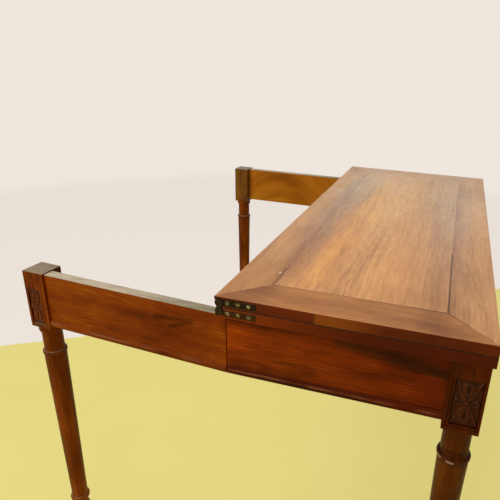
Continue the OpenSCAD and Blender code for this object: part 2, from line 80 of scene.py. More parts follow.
# The left arm: its swing about its hinge, which is at its lower limit when the arm is straight
LEFT_SWING = next(joint for joint in frame["joints"] if joint["name"] == "left_arm_swing")

# The camera: place, turn in degrees, focal length and film in millimetres, and picture shift
CAMERA_PLACE = (-1.2204, -0.3319, 1.1416)
CAMERA_TURN = (67.478, -1.908, -72.589)
FOCAL_LENGTH = 36.666
FILM_WIDTH = 36.0
PICTURE_SHIFT = (-0.09485, 0.02287)

# Colour of the background, and its strength as a light; the camera and reflections see it at 1
BACKDROP = (0.863, 0.791, 0.723)
WORLD_LIGHT = 0.45


# Camera

def make_camera():
    data = bpy.data.cameras.new("camera")
    data.lens = FOCAL_LENGTH
    data.sensor_width = FILM_WIDTH
    data.shift_x, data.shift_y = PICTURE_SHIFT
    data.clip_start = 0.02
    camera = bpy.data.objects.new("camera", data)
    camera.location = CAMERA_PLACE
    camera.rotation_euler = [math.radians(angle) for angle in CAMERA_TURN]
    bpy.context.scene.collection.objects.link(camera)
    bpy.context.scene.camera = camera


# Materials

class Graph:
    """A node tree, with short ways to add nodes and join them."""

    def __init__(self, tree):
        self.tree = tree

    def put(self, socket, value):
        """Links a socket to an input, or sets the input's own value."""
        if isinstance(value, bpy.types.NodeSocket):
            self.tree.links.new(value, socket)
        else:
            socket.default_value = value

    def node(self, kind, inputs=(), **settings):
        made = self.tree.nodes.new("ShaderNode" + kind)
        for key, value in settings.items():
            setattr(made, key, value)
        for key, value in dict(inputs).items():
            self.put(made.inputs[key], value)
        return made

    def coordinates(self, kind="Object"):
        return self.node("TexCoord").outputs[kind]

    def math(self, operation, a, b=0.0, clamp=False):
        made = self.node("Math", {0: a, 1: b}, operation=operation, use_clamp=clamp)
        return made.outputs[0]

    def vector(self, operation, a, b=(0.0, 0.0, 0.0)):
        made = self.node("VectorMath", {0: a, 1: b}, operation=operation)
        return made.outputs[0]

    def length(self, vector):
        return self.node("VectorMath", {0: vector}, operation="LENGTH").outputs["Value"]

    def dot(self, a, b):
        return self.node("VectorMath", {0: a, 1: b}, operation="DOT_PRODUCT").outputs["Value"]

    def split(self, vector):
        return self.node("SeparateXYZ", {0: vector}).outputs

    def join(self, x, y, z):
        return self.node("CombineXYZ", {0: x, 1: y, 2: z}).outputs[0]

    def noise(self, vector, scale, detail=3.0, rough=0.5, distortion=0.0):
        made = self.node("TexNoise", {
            "Vector": vector, "Scale": scale, "Detail": detail, "Roughness": rough,
            "Distortion": distortion,
        })
        return made.outputs

    def bent(self, place, stretch, scale, detail, reach):
        """A place, moved by waves that spread up to half of reach either way."""
        wave = self.noise(self.vector("MULTIPLY", place, stretch), scale, detail)["Color"]
        wave = self.vector("SUBTRACT", wave, (0.5, 0.5, 0.5))
        return self.vector("ADD", place, self.vector("MULTIPLY", wave, reach))

    def step(self, value, low, high, start=0.0, end=1.0):
        """Goes smoothly from start to end as value goes from low to high."""
        made = self.node("MapRange", {
            "Value": value, "From Min": low, "From Max": high, "To Min": start, "To Max": end,
        }, interpolation_type="SMOOTHSTEP")
        return made.outputs["Result"]

    def ramp(self, value, stops):
        made = self.node("ValToRGB", {"Fac": value})
        elements = made.color_ramp.elements
        while len(elements) < len(stops):
            elements.new(0.5)
        for element, (place, colour) in zip(elements, stops):
            element.position = place
            element.color = (*colour, 1.0)
        return made.outputs["Color"]

    def mix(self, share, a, b, blend="MIX"):
        made = self.node("Mix", data_type="RGBA", blend_type=blend)
        self.put(made.inputs[0], share)
        for index, value in ((6, a), (7, b)):
            if isinstance(value, tuple) and len(value) == 3:
                value = (*value, 1.0)
            self.put(made.inputs[index], value)
        return made.outputs[2]

    def stain(self, share, colour, tint):
        """Multiplies a colour by a tint, as much as share says."""
        return self.mix(share, colour, tint, "MULTIPLY")

    def near(self, value, centre, half, soft):
        """1 within half of centre, and 0 once past half + soft."""
        distance = self.math("ABSOLUTE", self.math("SUBTRACT", value, centre))
        return self.step(distance, half, half + soft, 1.0, 0.0)

    def both(self, *masks):
        result = masks[0]
        for mask in masks[1:]:
            result = self.math("MULTIPLY", result, mask)
        return result

    def patch(self, point, centre, size):
        """1 at the centre of an ellipsoid of that size, and 0 from twice the size on."""
        offset = self.vector("DIVIDE", self.vector("SUBTRACT", point, centre), size)
        return self.step(self.length(offset), 0.0, 2.0, 1.0, 0.0)

    def stroke(self, point, a, b, half, soft):
        """1 on the line from a to b, seen along Z, and 0 once past half + soft from it."""
        start = Vector((a[0], a[1], 0.0))
        run = Vector((b[0], b[1], 0.0)) - start
        flat = self.vector("MULTIPLY", point, (1.0, 1.0, 0.0))
        offset = self.vector("SUBTRACT", flat, tuple(start))
        along = self.dot(offset, tuple(run / run.length_squared))
        held = self.math("ADD", along, 0.0, clamp=True)
        foot = self.node("VectorMath", {0: tuple(run), "Scale": held}, operation="SCALE")
        distance = self.length(self.vector("SUBTRACT", offset, foot.outputs[0]))
        return self.step(distance, half, half + soft, 1.0, 0.0)


class Paint(Graph):
    """The graph of a new material, with its shader."""

    def __init__(self, name):
        self.material = bpy.data.materials.new(name)
        self.material.use_nodes = True
        super().__init__(self.material.node_tree)
        self.shader = self.tree.nodes["Principled BSDF"]


def tinted(palette, tint):
    return [(place, tuple(a * b for a, b in zip(colour, tint))) for place, colour in palette]


# Growth rings: their width, the distance of the pith line, and the spacing that the wave texture
# has at a scale of 1
RING_WIDTH = 0.0045
PITH = (0.03, -0.12)
WAVE_SPACING = 0.314

# How far one seed lies from the next: along the grain and across it
SEED_SHIFT = (1.37, 0.213, 0.171)


def wood(name, grain, seed, palette, rough=0.36, streak=1.0, cloud=1.0, fine=1.0, marks=None,
         specular=0.25, bump=0.25):
    """Old walnut, made as solid wood: rings round a pith line that runs along the grain, streaks
    and fibres drawn out along it, and pores. marks(graph, place, normal, colour) adds what
    belongs to one place."""
    g = Paint(name)
    place = g.coordinates()
    normal = g.coordinates("Normal")
    parts = g.split(place)
    first = "XYZ".index(grain)
    across = [axis for axis in range(3) if axis != first]
    shift = tuple(seed * share for share in SEED_SHIFT)
    own = g.vector("ADD", g.join(*(parts[axis] for axis in (first, *across))), shift)
    bent = g.bent(own, (1.0, 3.0, 3.0), 1.7, 2.0, (0.0, 0.03, 0.03))

    def drawn(stretch, scale, detail, roughness):
        """Noise drawn out along the grain."""
        along = g.vector("MULTIPLY", bent, (stretch, 1.0, 1.0))
        return g.noise(along, scale, detail, roughness)["Fac"]

    around = g.vector("ADD", bent, (0.0, PITH[0] - shift[1], PITH[1] - shift[2]))
    rings = g.node("TexWave", {
        "Vector": g.vector("MULTIPLY", around, (0.04, 1.0, 1.0)),
        "Scale": WAVE_SPACING / RING_WIDTH, "Distortion": 2.2, "Detail": 3.0,
        "Detail Scale": 0.12, "Detail Roughness": 0.6,
    }, wave_type="RINGS", rings_direction="X", wave_profile="SAW").outputs["Fac"]
    streaks = drawn(0.045, 60.0, 5.0, 0.6)
    clouds = drawn(0.14, 9.0, 3.0, 0.5)
    mottle = drawn(0.40, 16.0, 3.0, 0.55)
    flecks = drawn(0.10, 240.0, 3.0, 0.6)
    fibres = drawn(0.03, 620.0, 3.0, 0.7)
    pores = drawn(0.045, 1100.0, 2.0, 0.5)

    tone = 0.5
    for texture, share in ((streaks, 0.9 * streak), (clouds, 1.1 * cloud), (mottle, 0.8 * cloud),
                           (rings, 0.13), (flecks, 0.45 * fine), (fibres, 0.4 * fine)):
        tone = g.math("ADD", tone, g.math("MULTIPLY", g.math("SUBTRACT", texture, 0.5), share))
    colour = g.ramp(tone, palette)
    pits = g.step(pores, 0.60, 0.74)
    colour = g.stain(g.math("MULTIPLY", pits, 0.35), colour, (0.35, 0.3, 0.28))
    if marks:
        colour = marks(g, place, normal, colour)

    gloss = g.step(g.noise(place, 24.0, 4.0, 0.6)["Fac"], 0.3, 0.7, rough - 0.06, rough + 0.08)
    height = g.math("ADD", g.math("MULTIPLY", fibres, 0.5), g.math("MULTIPLY", pits, -0.6))
    height = g.math("ADD", height, g.math("MULTIPLY", streaks, 0.5))
    surface = g.node("Bump", {"Height": height, "Strength": bump, "Distance": 0.0004})
    g.put(g.shader.inputs["Base Color"], colour)
    g.put(g.shader.inputs["Roughness"], gloss)
    g.put(g.shader.inputs["Normal"], surface.outputs["Normal"])
    g.shader.inputs["Specular IOR Level"].default_value = specular
    return g.material


GOLDEN = [
    (0.12, (0.280, 0.108, 0.034)), (0.36, (0.465, 0.205, 0.063)),
    (0.60, (0.590, 0.280, 0.088)), (0.86, (0.700, 0.360, 0.118)),
]
ROSY = [
    (0.12, (0.240, 0.090, 0.030)), (0.40, (0.375, 0.153, 0.052)),
    (0.62, (0.455, 0.198, 0.070)), (0.88, (0.525, 0.245, 0.092)),
]
RUSSET = [
    (0.10, (0.045, 0.007, 0.001)), (0.36, (0.145, 0.018, 0.001)),
    (0.62, (0.250, 0.032, 0.001)), (0.90, (0.390, 0.080, 0.003)),
]
AMBER = [
    (0.10, (0.050, 0.010, 0.001)), (0.36, (0.148, 0.022, 0.001)),
    (0.60, (0.226, 0.039, 0.001)), (0.88, (0.345, 0.092, 0.003)),
]
HONEY = [
    (0.20, (0.180, 0.050, 0.002)), (0.42, (0.285, 0.088, 0.004)),
    (0.58, (0.370, 0.128, 0.007)), (0.76, (0.450, 0.180, 0.016)),
]
TURNED = [
    (0.10, (0.045, 0.009, 0.001)), (0.38, (0.125, 0.024, 0.001)),
    (0.62, (0.200, 0.040, 0.001)), (0.90, (0.310, 0.078, 0.003)),
]
INNER = [
    (0.10, (0.260, 0.130, 0.060)), (0.40, (0.420, 0.230, 0.110)),
    (0.65, (0.520, 0.310, 0.160)), (0.90, (0.600, 0.380, 0.210)),
]
JOINT_DARK = (0.080, 0.022, 0.003)


# What belongs to one place on the top: joint lines, dark streaks, painted sheen, cracks, and
# stained edges with painted shade

# Soft patches on the upper leaf: middle, size, a tint that multiplies, and its share
# The pale, bluish patches towards the far side, at +X, are painted sheen.
TOP_PATCHES_AND_SHEEN = [
    ((-0.17, -0.066), (0.20, 0.034), (0.66, 0.63, 0.76), 0.95),
    ((0.07, -0.072), (0.20, 0.040), (0.74, 0.80, 1.02), 0.95),
    ((-0.26, -0.125), (0.24, 0.028), (1.10, 1.02, 0.70), 0.90),
    ((0.12, -0.145), (0.26, 0.030), (1.10, 1.07, 0.82), 0.85),
    ((0.33, -0.085), (0.20, 0.045), (0.86, 1.12, 1.65), 0.85),
    ((-0.36, -0.074), (0.12, 0.018), (0.70, 0.62, 0.58), 0.80),
    ((-0.12, -0.345), (0.27, 0.036), (0.73, 0.78, 1.10), 0.90),
    ((0.25, -0.332), (0.27, 0.038), (0.80, 0.98, 1.40), 0.80),
    ((0.30, -0.20), (0.30, 0.20), (1.00, 1.14, 1.35), 0.90),
    ((-0.10, -0.19), (0.34, 0.05), (1.08, 1.12, 1.05), 0.80),
    ((-0.30, -0.27), (0.16, 0.03), (0.90, 0.86, 0.82), 0.80),
    ((-0.02, -0.27), (0.14, 0.022), (0.90, 0.90, 0.95), 0.80),
    ((-0.42, -0.338), (0.10, 0.022), (0.66, 0.58, 0.56), 0.75),
    ((-0.45, -0.31), (0.05, 0.06), (0.82, 0.76, 0.72), 0.60),
    ((-0.22, -0.398), (0.07, 0.018), (1.22, 1.26, 1.15), 0.80),
    ((-0.53, -0.36), (0.02, 0.03), (0.66, 0.56, 0.50), 0.70),
    ((-0.50, -0.03), (0.14, 0.04), (0.70, 0.60, 0.48), 0.90),
    ((0.15, -0.395), (0.38, 0.04), (1.15, 1.30, 1.55), 0.85),
]

# Cracks beside the back joint of the panel: start, end, half width and depth
CRACKS = [
    ((-0.468, -0.070), (-0.40, -0.066), 0.0004, 0.80),
    ((-0.40, -0.060), (-0.335, -0.058), 0.0003, 0.55),
    ((-0.33, -0.062), (-0.24, -0.056), 0.0003, 0.60),
    ((-0.25, -0.067), (-0.14, -0.064), 0.0003, 0.40),
]

# Filled nail holes in the front border
NAIL_HOLES = [(-0.426, -0.404), (-0.437, -0.411), (-0.405, -0.398)]

# A pale chip beside the back joint, from end to end
CHIP = ((-0.424, -0.0615), (-0.421, -0.0625))

# The growth rings round one place on the panel: their middle, and the size of their oval
EYE_MIDDLE = (-0.19, -0.20)
EYE_SIZE = (0.11, 0.04)

# Joint between the two lengths of wood that lip the near edge of the upper leaf, and the stretch
# over which the front one turns lighter towards it
LIP_JOINT_Y = -0.1618
LIP_LIGHT_Y = (-0.280, -0.185)


def edge_share(g, normal):
    """1 on the edges of a leaf, with their lower arris, and 0 on its faces."""
    up = g.split(normal)[2]
    face = g.math("MAXIMUM", g.step(up, 0.45, 0.80), g.step(up, -0.998, -0.97, 1.0, 0.0))
    return g.math("SUBTRACT", 1.0, face)


def edge_colour(g, place, colour, back, front):
    """A leaf's edge is stained much darker than its face. It is darkest towards the front, which
    is painted shade where the light falls off, and a dark line where the two leaves meet is
    painted shade in the gap between them."""
    parts = g.split(place)
    # Darker towards the front: painted shade.
    stain = g.mix(g.step(parts[1], -0.30, 0.0), front, back)
    colour = g.stain(1.0, colour, stain)
    # A dark line where the leaves meet: painted shade in the gap.
    meeting_shade = g.near(parts[2], LEAF_MEETING_Z, 0.0007, 0.0012)
    return g.mix(g.math("MULTIPLY", meeting_shade, 0.85), colour, (0.020, 0.006, 0.001))


def leaf_lines(g, place, colour):
    """Joint lines between panel and borders, and the mitres of the corners."""
    left, right = TOP_LEFT_X + BORDER_W, -TOP_LEFT_X - BORDER_W
    back, front = TOP_BACK_Y - BORDER_W, TOP_FRONT_Y + BORDER_W
    soft = 0.0009
    lines = [
        ((left, front), (-0.21, front + 0.001), 0.0010, 0.97),
        ((-0.21, front + 0.001), (right, front), 0.0004, 0.35),
        ((left, front), (left, -0.30), 0.0010, 0.97),
        ((left, -0.30), (left, back), 0.0006, 0.70),
        ((left, back), (-0.39, back - 0.001), 0.0006, 0.85),
        ((-0.39, back - 0.001), (-0.29, back), 0.0004, 0.50),
        ((-0.29, back), (right, back), 0.0003, 0.25),
        ((right, back), (right, front), 0.0004, 0.40),
        ((left, front), (-0.505, -0.388), 0.0008, 0.80),
        ((-0.505, -0.388), (-0.538, -0.421), 0.0005, 0.50),
        ((left, back), (TOP_LEFT_X, TOP_BACK_Y), 0.0003, 0.30),
        ((right, front), (-TOP_LEFT_X, TOP_FRONT_Y), 0.0004, 0.40),
        ((right, back), (-TOP_LEFT_X, TOP_BACK_Y), 0.0004, 0.40),
    ]
    for start, end, half, depth in lines:
        mask = g.math("MULTIPLY", g.stroke(place, start, end, half, soft), depth)
        colour = g.mix(mask, colour, JOINT_DARK)
    return colour


def top_patches_and_sheen(g, place, colour):
    """The soft patches, with ragged outlines. The pale, bluish ones on the far side are painted
    sheen.
    """
    high = 0.1
    moved = g.bent(place, (1.0, 4.0, 4.0), 6.0, 3.0, (0.10, 0.03, 0.0))
    for middle, size, tint, share in TOP_PATCHES_AND_SHEEN:
        patch = g.patch(moved, (*middle, TOP_Z), (*size, high))
        colour = g.stain(g.math("MULTIPLY", patch, share), colour, tint)
    return colour


def eye_figure(g, place, colour):
    """Faint arcs of the growth rings round one place on the panel."""
    offset = g.vector("SUBTRACT", place, (*EYE_MIDDLE, TOP_Z))
    away = g.length(g.vector("DIVIDE", offset, (*EYE_SIZE, 1.0)))
    drift = g.noise(g.vector("MULTIPLY", place, (1.0, 2.5, 1.0)), 14.0, 3.0)["Fac"]
    phase = g.math("ADD", g.math("MULTIPLY", away, 17.0), g.math("MULTIPLY", drift, 9.0))
    arcs = g.step(g.math("SINE", phase), 0.0, 1.0)
    share = g.both(arcs, g.step(away, 0.2, 1.9, 0.40, 0.0))
    return g.stain(share, colour, (0.76, 0.70, 0.64))


def small_wear(g, place, colour):
    """Filled nail holes, a pale chip, and cracks along the back joint of the panel."""
    for x, y in NAIL_HOLES:
        hole = g.stroke(place, (x, y), (x + 0.0012, y), 0.0007, 0.0012)
        colour = g.mix(g.math("MULTIPLY", hole, 0.7), colour, JOINT_DARK)
    chip = g.stroke(place, *CHIP, 0.0008, 0.0009)
    colour = g.mix(chip, colour, (0.75, 0.68, 0.58))
    bent = g.bent(place, (1.0, 0.4, 1.0), 34.0, 3.0, (0.0, 0.010, 0.0))
    for start, end, half, depth in CRACKS:
        crack = g.math("MULTIPLY", g.stroke(bent, start, end, half, 0.0008), depth)
        colour = g.mix(crack, colour, JOINT_DARK)
    return colour


def upper_top_marks(g, place, normal, colour):
    """All that shows on the faces of the upper leaf, painted sheen among it, and the stain of its
    edges, with painted shade.
    """
    colour = eye_figure(g, place, top_patches_and_sheen(g, place, colour))
    colour = small_wear(g, place, leaf_lines(g, place, colour))
    edge = edge_colour(g, place, colour, (0.37, 0.098, 0.001), (0.31, 0.072, 0.001))
    return g.mix(edge_share(g, normal), colour, edge)


def lower_top_marks(g, place, normal, colour):
    """Joint lines on the faces of the lower leaf, and the stain of its edges, with painted shade.
    """
    dark = edge_colour(g, place, colour, (0.42, 0.130, 0.001), (0.17, 0.032, 0.001))
    face = g.step(g.math("ABSOLUTE", g.split(normal)[2]), 0.97, 0.998)
    return g.mix(face, dark, leaf_lines(g, place, colour))


def near_border_marks(g, place, normal, colour):
    """The near edge is lipped with two lengths of wood, and the front one is lighter next to the
    joint between them."""
    colour = upper_top_marks(g, place, normal, colour)
    parts = g.split(place)
    edge = edge_share(g, normal)
    outside = g.step(parts[0], TOP_LEFT_X + 0.004, TOP_LEFT_X + 0.008, 1.0, 0.0)
    light = g.step(parts[1], *LIP_LIGHT_Y)
    before = g.step(parts[1], LIP_JOINT_Y - 0.0004, LIP_JOINT_Y, 1.0, 0.0)
    light = g.both(edge, outside, light, before)
    colour = g.mix(g.math("MULTIPLY", light, 0.75), colour, (0.27, 0.068, 0.004))
    joint = g.both(edge, outside, g.near(parts[1], LIP_JOINT_Y, 0.0005, 0.0006))
    return g.mix(joint, colour, JOINT_DARK)


# What belongs to one place on the frame, the arms and the legs

# Streaks on the side faces: start and end as (y, z), half width, and how far they fade
# The dark streak on a rail is stain with the painted shadow of the leaf's overhang.
RAIL_STREAK_AND_SHADOW = ((-0.20, 0.7215), (-0.41, 0.694), 0.004, 0.013)
RAIL_LIGHT = ((-0.10, 0.660), (-0.26, 0.648), 0.002, 0.024)
ARM_CURL = [
    ((0.060, 0.703), (0.135, 0.697), 0.001, 0.007),
    ((0.062, 0.700), (0.105, 0.684), 0.001, 0.006),
]


def worn_top_and_sheen(g, place, normal, colour, pale=(0.43, 0.37, 0.27)):
    """A top face that the finish never covered: pale, grey and worn, and its paleness is also
    painted sheen.
    """
    up = g.step(g.split(normal)[2], 0.6, 0.9)
    drawn = g.vector("MULTIPLY", place, (1.0, 0.12, 1.0))
    grime = g.noise(drawn, 170.0, 4.0, 0.6)["Fac"]
    dark = tuple(0.55 * v for v in pale)
    light = tuple(1.2 * v for v in pale)
    worn = g.ramp(grime, [(0.28, dark), (0.50, pale), (0.78, light)])
    return g.mix(g.math("MULTIPLY", up, 0.95), colour, worn)


def crevice_dirt_and_shade(g, colour):
    """Darker where the surface is enclosed, as ambient occlusion finds it: painted shade, with
    dirt and old polish in the grooves.
    """
    open_share = g.node("AmbientOcclusion", {"Distance": 0.005}, samples=6).outputs["AO"]
    mask = g.step(open_share, 0.30, 0.90, 0.75, 0.0)
    return g.stain(mask, colour, (0.16, 0.12, 0.10))


def band(g, place, start, end, half, soft):
    """1 along a wavering streak on a side, drawn from start to end, which are (y, z)."""
    parts = g.split(g.bent(place, (0.0, 1.0, 0.6), 17.0, 3.0, (0.010, 0.010, 0.010)))
    return g.stroke(g.join(parts[1], parts[2], 0.0), start, end, half, soft)


def bead_shadow(g, height, colour, depth):
    """Painted shade in the corner over the bead, darkest just above its top."""
    painted_shade = g.step(height, BEAD_TOP + 0.0004, BEAD_TOP + 0.0064, depth, 0.0)
    return g.stain(painted_shade, colour, (0.40, 0.32, 0.30))


def rail_marks(g, place, normal, colour):
    """Lighter towards the back, which is painted light that falls off towards the front. Darker in
    the corners under the leaf and over the bead, which is painted shade. A dark streak, stain with
    the painted shadow of the leaf's overhang, falls towards the front, and a lighter band lies
    below it, further back."""
    parts = g.split(place)
    # Lighter towards the back: painted light, which falls off towards the front.
    back = g.step(parts[1], -0.34, -0.02)
    colour = g.mix(back, g.stain(1.0, colour, (0.80, 0.76, 0.9)),
                   g.stain(1.0, colour, (1.50, 1.75, 1.0)))
    colour = bead_shadow(g, parts[2], colour, 0.75)
    # Darker under the leaf: painted shade.
    drift = g.noise(g.vector("MULTIPLY", place, (1.0, 0.35, 1.0)), 9.0, 3.0)["Fac"]
    low = g.math("SUBTRACT", parts[2], g.math("MULTIPLY", drift, 0.030))
    under_leaf_shade = g.step(low, RAIL_TOP - 0.0316, RAIL_TOP - 0.0136, 0.0, 0.60)
    colour = g.stain(under_leaf_shade, colour, (0.45, 0.45, 0.50))
    # A dark streak: stain with the painted shadow of the leaf's overhang.
    dark = band(g, place, *RAIL_STREAK_AND_SHADOW)
    colour = g.stain(g.math("MULTIPLY", dark, 0.85), colour, (0.38, 0.62, 0.9))
    light = band(g, place, *RAIL_LIGHT)
    return g.stain(g.math("MULTIPLY", light, 0.55), colour, (1.15, 1.35, 1.2))


def arm_marks(g, place, normal, colour):
    """An arm is plain golden wood on its inner face. Its top is pale, which is painted sheen on
    worn wood, and darker towards the joint, which is painted shade, as is the shade over its bead.
    A dark streak curls over its outer face near the joint."""
    parts = g.split(place)
    facing_way = g.split(normal)
    curl = g.math("MAXIMUM", *(band(g, place, *part) for part in ARM_CURL))
    colour = g.stain(g.math("MULTIPLY", curl, 0.75), colour, (0.42, 0.50, 0.8))
    colour = bead_shadow(g, parts[2], colour, 0.20)
    inward = g.math("MULTIPLY", facing_way[0], g.math("SIGN", parts[0]))
    inner = g.step(inward, -0.8, -0.4, 1.0, 0.0)
    along = g.math("SUBTRACT", parts[1], 0.25)
    arch = g.math("MULTIPLY", g.math("MULTIPLY", along, along), 4.0)
    arch = g.math("ADD", parts[2], arch)
    arched = g.join(g.math("MULTIPLY", parts[1], 0.30), arch, 0.0)
    figure = g.noise(arched, 21.0, 3.0, 0.5, 0.5)["Fac"]
    # Golden inner face, and a pale grey top: painted sheen on worn wood.
    colour = worn_top_and_sheen(g, place, normal, g.mix(inner, colour, g.ramp(figure, HONEY)))
    # Darker on the top towards the joint: painted shade.
    up = g.step(facing_way[2], 0.6, 0.9)
    painted_shade = g.both(up, g.step(parts[1], 0.04, 0.22, 0.75, 0.0))
    return g.stain(painted_shade, colour, (0.42, 0.44, 0.36))


def front_leg_marks(g, place, normal, colour):
    """The foot of the neck is dark, which is painted shade, and the collar is dark, with pale
    spots on its crown that are painted highlights and rubbed wear.
    """
    height = g.split(place)[2]
    block = g.step(height, FRONT_BLOCK_FOOT - 0.0036, FRONT_BLOCK_FOOT + 0.0004)
    # Dark foot of the neck: painted shade.
    neck_foot_shade = g.near(height, FRONT_BLOCK_FOOT - NECK_SHADE_DROP, 0.006, 0.003)
    colour = g.stain(neck_foot_shade, colour, (0.62, 0.45, 1.0))
    collar_z = FRONT_BLOCK_FOOT - COLLAR_DROP
    collar = g.near(height, collar_z, 0.0045, 0.0020)
    colour = g.stain(collar, colour, (0.66, 0.58, 0.9))
    # Pale spots on the collar's crown: painted highlights, with rubbed wear.
    spots = g.step(g.noise(place, 75.0, 2.0)["Fac"], 0.52, 0.62)
    rubbed_highlight = g.both(g.near(height, collar_z - 0.0003, 0.0007, 0.0024), spots)
    colour = g.mix(g.math("MULTIPLY", rubbed_highlight, 0.7), colour, (0.40, 0.26, 0.18))
    # Painted shade, with dirt and old polish, in the grooves.
    return crevice_dirt_and_shade(g, g.stain(block, colour, (1.05, 0.75, 1.0)))


def rear_leg_marks(g, place, normal, colour):
    """The two blocks have darkened unlike each other."""
    parts = g.split(place)
    left = g.stain(1.0, colour, (1.10, 1.00, 1.0))
    right = g.stain(1.0, colour, (0.70, 1.30, 5.5))
    block = g.mix(g.step(parts[0], -0.1, 0.1), left, right)
    share = g.step(parts[2], REAR_BLOCK_FOOT - 0.0026, REAR_BLOCK_FOOT + 0.0004)
    # Painted shade, with dirt and old polish, in the grooves, and painted sheen on the top of the
    # block.
    colour = crevice_dirt_and_shade(g, g.mix(share, colour, block))
    return worn_top_and_sheen(g, place, normal, colour, (0.21, 0.16, 0.105))


def carving_marks(g, place, normal, colour):
    """The ground of a relief is dark, with painted shade in its drilled eyes and grooves, and its
    crowns are lighter: rubbed wear and painted highlights.
    """
    relief = g.node("Attribute", attribute_name="relief").outputs["Fac"]
    rubbed_highlight = g.step(g.noise(place, 420.0, 3.0)["Fac"], 0.30, 0.65)
    crown_highlight = g.both(g.step(relief, 1.7, 2.8), rubbed_highlight)
    slot_shade = g.step(relief, 0.08, 0.24, 1.0, 0.0)
    colour = g.stain(slot_shade, colour, (0.30, 0.16, 0.20))
    return crevice_dirt_and_shade(g, g.stain(crown_highlight, colour, (2.3, 2.5, 3.5)))


def bead_marks(g, place, normal, colour):
    """Lighter along a thin line over its middle, broken in places: a painted highlight, with
    rubbed wear.
    """
    crown_highlight = g.near(g.split(place)[2], BEAD_FOOT + 0.0096, 0.0006, 0.0024)
    drawn = g.vector("MULTIPLY", place, (0.3, 0.3, 1.0))
    rubbed_highlight = g.step(g.noise(drawn, 60.0, 3.0)["Fac"], 0.35, 0.7)
    return g.mix(g.both(crown_highlight, rubbed_highlight), colour, (0.20, 0.075, 0.030))


def metal(name, base, worn, rough, other=None):
    """Old metal with a dark skin that is rubbed bright in places, to one colour or another."""
    g = Paint(name)
    place = g.coordinates()
    skin = g.noise(place, 220.0, 5.0, 0.65)["Fac"]
    spots = g.noise(place, 880.0, 3.0, 0.6)["Fac"]
    share = g.step(g.math("ADD", skin, g.math("MULTIPLY", spots, 0.35)), 0.55, 0.95)
    if other:
        worn = g.mix(g.step(g.noise(place, 70.0, 1.0)["Fac"], 0.42, 0.58), worn, other)
    g.put(g.shader.inputs["Base Color"], g.mix(share, base, worn))
    g.put(g.shader.inputs["Roughness"], g.step(skin, 0.3, 0.7, rough + 0.12, rough - 0.1))
    surface = g.node("Bump", {"Height": spots, "Strength": 0.35, "Distance": 0.0003})
    g.put(g.shader.inputs["Normal"], surface.outputs["Normal"])
    g.shader.inputs["Metallic"].default_value = 0.85
    return g.material


def dress(names, material):
    for name in names:
        for place in nodes[name].material_slots:
            place.material = material


def dress_top():
    panel = wood("upper_panel_wood", "X", 3, GOLDEN, marks=upper_top_marks, specular=0.35,
                 rough=0.25, streak=0.6, cloud=0.6, fine=1.5, bump=0.12)
    dress(["upper_panel"], panel)
    dress(["lower_panel"], wood("lower_panel_wood", "X", 9, GOLDEN, marks=lower_top_marks))
    # The tints of the borders hold painted sheen: paler and bluer on the far borders, and least on
    # the near one.
    borders = [
        ("front", "X", 12, (1.13, 1.30, 1.45), upper_top_marks),
        ("back", "X", 13, (1.14, 1.32, 1.45), upper_top_marks),
        ("left", "Y", 14, (0.96, 0.94, 0.76), near_border_marks),
        ("right", "Y", 15, (1.25, 1.58, 1.95), upper_top_marks),
    ]
    for side, grain, seed, tint, marks in borders:
        upper = wood(f"upper_{side}_border_wood", grain, seed, tinted(ROSY, tint), marks=marks,
                     specular=0.17, rough=0.25, streak=0.6, cloud=0.8, fine=1.3, bump=0.12)
        lower = wood(f"lower_{side}_border_wood", grain, seed + 10, ROSY, marks=lower_top_marks,
                     specular=0.12)
        dress([f"upper_{side}_border"], upper)
        dress([f"lower_{side}_border"], lower)


def dress_frame():
    rails = [
        ("front_rail", "X", RUSSET, rail_marks), ("left_side_rail", "Y", RUSSET, rail_marks),
        ("right_side_rail", "Y", RUSSET, rail_marks), ("left_arm", "Y", AMBER, arm_marks),
        ("right_arm", "Y", AMBER, arm_marks), ("front_bead", "X", RUSSET, bead_marks),
    ]
    for seed, (name, grain, palette, marks) in enumerate(rails, 31):
        dress([name], wood(f"{name}_wood", grain, seed, palette, marks=marks, specular=0.06,
                           streak=0.75, cloud=1.2, fine=0.9))
    beads = [
        ("side", 37, tinted(RUSSET, (0.48, 0.46, 1.0))),
        ("arm", 38, tinted(AMBER, (0.92, 1.0, 1.0))),
    ]
    for kind, seed, palette in beads:
        dress([f"left_{kind}_bead", f"right_{kind}_bead"],
              wood(f"{kind}_bead_wood", "Y", seed, palette, marks=bead_marks, rough=0.55,
                   specular=0.05))
    # The left front leg's darker tint is partly painted shade, where the light falls off towards
    # the front.
    legs = [
        ("left_front_leg", (0.46, 0.49, 0.35), front_leg_marks),
        ("right_front_leg", (0.65, 0.80, 1.0), front_leg_marks),
        ("left_rear_leg", (1.0, 1.0, 1.0), rear_leg_marks),
        ("right_rear_leg", (1.20, 1.30, 1.5), rear_leg_marks),
    ]
    for seed, (name, tint, marks) in enumerate(legs, 40):
        dress([name], wood(f"{name}_wood", "Z", seed, tinted(TURNED, tint), marks=marks,
                           specular=0.06, rough=0.34, cloud=1.2))
    dress(["back_rail", "fixing_blocks"], wood("inner_wood", "X", 50, INNER, rough=0.6))
    dress(["cross_bearer"], wood("bearer_wood", "Y", 51, INNER, rough=0.6))


